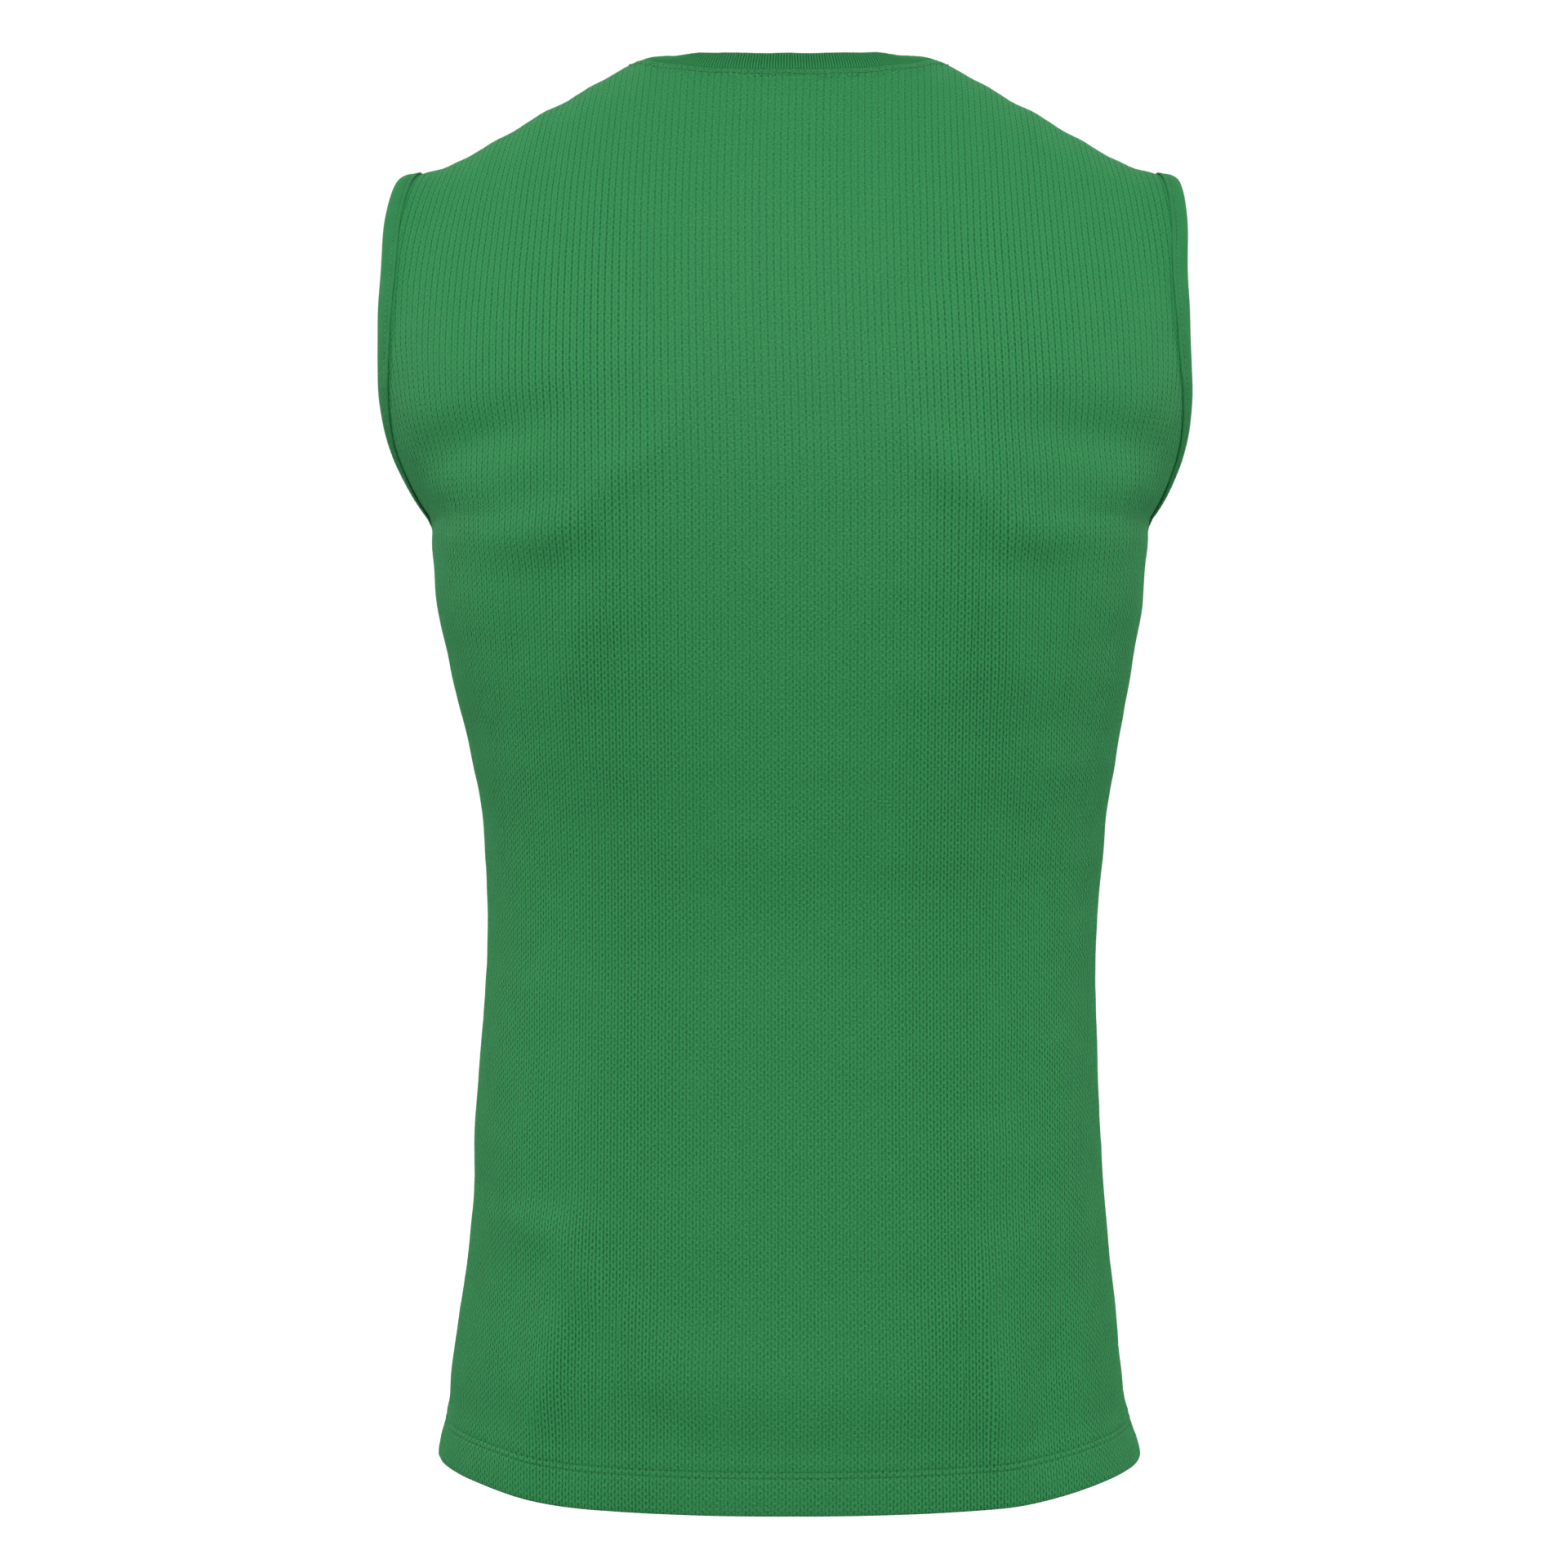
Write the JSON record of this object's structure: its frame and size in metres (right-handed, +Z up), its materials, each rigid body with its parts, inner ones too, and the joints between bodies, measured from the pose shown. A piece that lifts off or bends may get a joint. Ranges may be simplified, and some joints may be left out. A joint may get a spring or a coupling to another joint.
{
  "type": "sports tank top",
  "caption": "Sleeveless crew-neck sports shirt in mesh knit, hollow and filled out as if worn, with a rib collar, folded armhole bindings and a turned-up hem.",
  "frame": {"origin": "midway between the neck ends of the two shoulder seams, where the shirt hangs from its wearer's shoulders", "axes": "+Z up along the worn body, -Y the way the wearer faces, +X to the wearer's left"},
  "size_m": [0.4045, 0.2424, 0.717],
  "materials": {
    "back_knit": "soft sheen mesh knit",
    "front_knit": "soft sheen mesh knit",
    "left_binding_knit": "smooth plain knit",
    "right_binding_knit": "smooth plain knit",
    "collar_rib": "fine rib knit"
  },
  "bodies": {
    "root": {"back_panel": "back_knit", "front_panel": "front_knit", "left_armhole_binding": "left_binding_knit", "right_armhole_binding": "right_binding_knit", "rib_collar": "collar_rib"}
  },
  "joints": []
}
